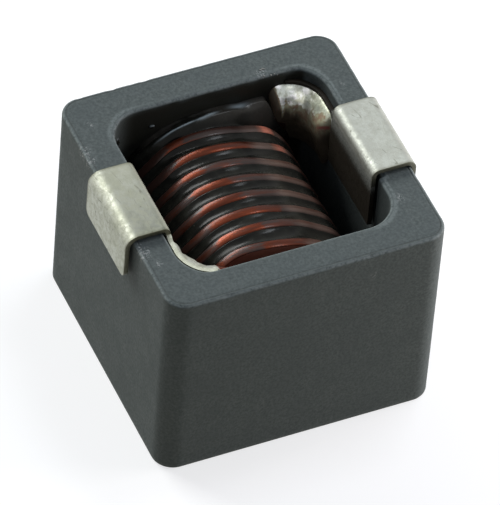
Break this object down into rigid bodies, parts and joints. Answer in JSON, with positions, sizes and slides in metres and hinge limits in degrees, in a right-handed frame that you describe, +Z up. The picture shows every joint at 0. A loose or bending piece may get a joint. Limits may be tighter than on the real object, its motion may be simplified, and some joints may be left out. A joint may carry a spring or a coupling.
{
  "type": "surface mount inductor",
  "caption": "Square ferrite cup open on its solder side, with an edge wound flat copper wire coil lying inside and two tinned strip terminals folded over opposite rims.",
  "frame": {"origin": "middle of the closed face, on which the inductor lies with its solder side up", "axes": "+X from the left terminal to the right terminal, along the longest extent; +Y along the coil's axis to the rear; +Z up, out of the open solder side"},
  "size_m": [0.0119, 0.0114, 0.0094],
  "materials": {
    "ferrite": "pressed and fired, matte, very fine grain",
    "enamelled_copper": "clear red brown enamel over copper, glossy",
    "tinned_copper": "matte tin, lightly scratched, dull at the edges",
    "solder": "lumpy, half bright",
    "adhesive": "cured, glossy"
  },
  "bodies": {
    "root": {"ferrite_shell": "ferrite", "ferrite_rod": "ferrite", "winding": "enamelled_copper", "terminal_left": "tinned_copper", "terminal_right": "tinned_copper", "solder_joint_left": "solder", "solder_joint_right": "solder", "turn_adhesive": "adhesive", "rear_adhesive": "adhesive"}
  },
  "joints": []
}
